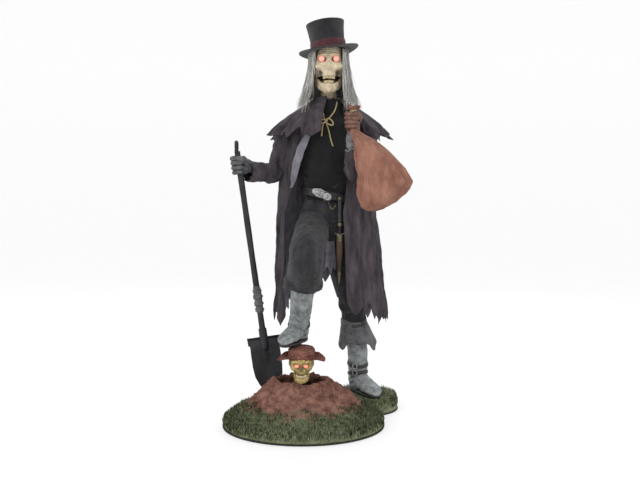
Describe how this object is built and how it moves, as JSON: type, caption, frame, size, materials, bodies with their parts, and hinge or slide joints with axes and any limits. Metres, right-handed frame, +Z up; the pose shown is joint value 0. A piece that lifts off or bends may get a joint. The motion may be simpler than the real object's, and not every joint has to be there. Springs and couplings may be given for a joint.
{
  "type": "animated figure",
  "caption": "Life-size grave digger ghoul in a top hat and ragged coat, leaning on a shovel with one boot on a buried skull; head, jaw and skull jaw move.",
  "frame": {"origin": "middle of the base's underside, on the floor", "axes": "+Z up, the figure faces -Y, its right hand is at -X"},
  "size_m": [0.835, 0.834, 1.8218],
  "materials": {
    "painted_polyresin": "matt, textured",
    "black_board": "painted",
    "foam_rubber": "matt",
    "black_steel": "powder coat",
    "zinc_steel": "zinc plated",
    "black_plastic": "fine texture",
    "white_acetal": "moulded",
    "black_cloth": "woven",
    "charcoal_cloth": "worn weave",
    "black_leather": "worn",
    "brown_leather": "worn",
    "pewter": "cast, antiqued",
    "painted_vinyl": "painted flesh",
    "bone_vinyl": "painted bone",
    "red_lens": "clear red",
    "grey_felt": "felt",
    "red_ribbon": "woven",
    "brown_leather_paint": "painted",
    "grey_hair": "synthetic hair",
    "grey_vinyl": "wrinkled",
    "grey_glove": "worn",
    "burlap": "coarse weave",
    "dark_wood": "painted",
    "dark_iron": "painted",
    "straw_twine": "twisted"
  },
  "bodies": {
    "figure": {"base_shell": "painted_polyresin", "base_plate": "black_board", "base_pads": "foam_rubber", "leg_sockets": "black_steel", "base_screws": "zinc_steel", "control_box": "black_plastic", "speaker": "black_plastic", "battery_cells": "zinc_steel", "leg_tube_left": "black_steel", "leg_tube_right": "black_steel", "pelvis_block": "black_steel", "spine_tube": "black_steel", "shoulder_bar": "black_steel", "arm_tube_right": "black_steel", "arm_tube_left": "black_steel", "torso_front_shell": "black_plastic", "torso_back_shell": "black_plastic", "shirt": "black_cloth", "coat": "charcoal_cloth", "sleeve_right": "charcoal_cloth", "sleeve_left": "charcoal_cloth", "capelet": "charcoal_cloth", "trousers": "charcoal_cloth", "belt": "black_leather", "belt_buckle": "pewter", "neck_gearmotor": "zinc_steel", "skull_cranium": "bone_vinyl", "skull_eye_lenses": "red_lens", "skull_hat": "brown_leather_paint", "skull_bracket": "black_steel", "skull_motor": "zinc_steel", "boot_left": "grey_vinyl", "boot_right": "grey_vinyl", "boot_cuff": "black_leather", "hand_right": "grey_glove", "hand_left": "grey_glove", "sack": "burlap", "shovel_handle": "dark_wood", "shovel_blade": "dark_iron", "cape_cord_right": "straw_twine", "cape_cord_left": "straw_twine"},
    "head": {"head_bracket": "black_steel", "face_shell": "painted_vinyl", "back_head_shell": "painted_vinyl", "eye_lenses": "red_lens", "jaw_motor": "zinc_steel", "top_hat": "grey_felt", "hat_band": "red_ribbon", "wig": "grey_hair", "neck_gear": "white_acetal"},
    "neck_drive": {"neck_pinion": "white_acetal"},
    "lower_jaw": {"jaw": "painted_vinyl"},
    "jaw_drive": {"jaw_pinion": "white_acetal"},
    "skull_lower_jaw": {"skull_jaw": "bone_vinyl"},
    "skull_drive": {"skull_pinion": "white_acetal"},
    "dagger": {"dagger_sheath": "brown_leather"},
    "switch": {"mode_switch": "black_plastic"},
    "button": {"demo_button": "black_plastic"},
    "battery_cover": {"battery_door": "black_plastic"},
    "snap_button": {"spine_snap_button": "zinc_steel"}
  },
  "joints": [
    {"name": "head_turn", "type": "hinge", "parent": "figure", "child": "head", "pos_m": [0.071, 0.21, 1.4], "axis": [0, 0, 1], "range_deg": [-30, 30], "deforming": ["wig"]},
    {"name": "neck_pinion_spin", "type": "hinge", "parent": "figure", "child": "neck_drive", "pos_m": [0.071, 0.249, 1.4], "axis": [0, 0, 1], "range_deg": [-101, 101]},
    {"name": "jaw_open", "type": "hinge", "parent": "head", "child": "lower_jaw", "pos_m": [0.071, 0.218, 1.562], "axis": [1, 0, 0], "range_deg": [-9, 8]},
    {"name": "jaw_pinion_spin", "type": "hinge", "parent": "head", "child": "jaw_drive", "pos_m": [0.118, 0.218, 1.58], "axis": [1, 0, 0], "range_deg": [-17, 19]},
    {"name": "skull_jaw_open", "type": "hinge", "parent": "figure", "child": "skull_lower_jaw", "pos_m": [-0.052, -0.02, 0.236], "axis": [1, 0, 0], "range_deg": [-1, 8]},
    {"name": "skull_pinion_spin", "type": "hinge", "parent": "figure", "child": "skull_drive", "pos_m": [-0.018, -0.02, 0.254], "axis": [1, 0, 0], "range_deg": [-17, 3]},
    {"name": "dagger_swing", "type": "hinge", "parent": "figure", "child": "dagger", "pos_m": [0.121, 0.112, 0.998], "axis": [0, 1, 0], "range_deg": [-14, 3]},
    {"name": "mode_switch_slide", "type": "slide", "parent": "figure", "child": "switch", "axis": [1, 0, 0], "range_m": [-0.003, 0.003]},
    {"name": "demo_button_press", "type": "slide", "parent": "figure", "child": "button", "axis": [0, -1, 0], "range_m": [0, 0.0022], "stiffness_N_per_m": 300, "springref_m": -0.001},
    {"name": "battery_door_slide", "type": "slide", "parent": "figure", "child": "battery_cover", "axis": [0, 1, 0], "range_m": [0, 0.045]},
    {"name": "snap_button_press", "type": "slide", "parent": "figure", "child": "snap_button", "axis": [0, 1, 0], "range_m": [0, 0.0035], "stiffness_N_per_m": 400, "springref_m": -0.001}
  ],
  "couplings": [
    {"joint": "neck_pinion_spin", "follows": "head_turn", "ratio": -3.3333},
    {"joint": "jaw_pinion_spin", "follows": "jaw_open", "ratio": -2},
    {"joint": "skull_pinion_spin", "follows": "skull_jaw_open", "ratio": -2}
  ]
}
